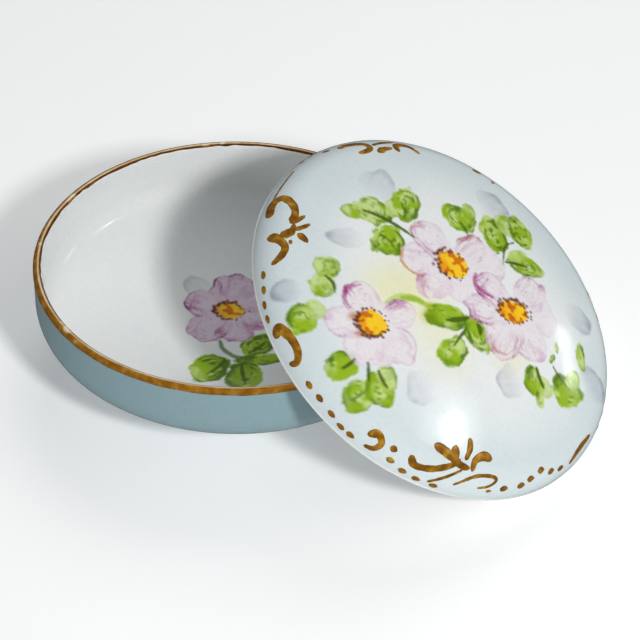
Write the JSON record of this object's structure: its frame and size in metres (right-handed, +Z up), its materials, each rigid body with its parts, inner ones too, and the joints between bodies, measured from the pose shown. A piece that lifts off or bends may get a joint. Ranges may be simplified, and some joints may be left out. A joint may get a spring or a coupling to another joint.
{
  "type": "porcelain trinket box",
  "caption": "Round footed dish with a gilded rim, and a low domed lid with a locating ring that leans against the dish and lifts away.",
  "frame": {"origin": "centre of the dish's foot ring, on the surface that the box stands on", "axes": "+Z up along the dish's axis, +X from the dish towards the lid that leans against it"},
  "size_m": [0.1735, 0.1202, 0.0683],
  "materials": {
    "dish_glaze": "gloss",
    "lid_glaze": "gloss",
    "gilding": "burnished"
  },
  "bodies": {
    "dish": {"dish": "dish_glaze", "dish_gilding": "gilding"},
    "lid": {"lid": "lid_glaze"}
  },
  "joints": [
    {"name": "lid_lift", "type": "slide", "parent": "dish", "child": "lid", "axis": [0, 0, 1], "range_m": [0, 0.06]}
  ]
}
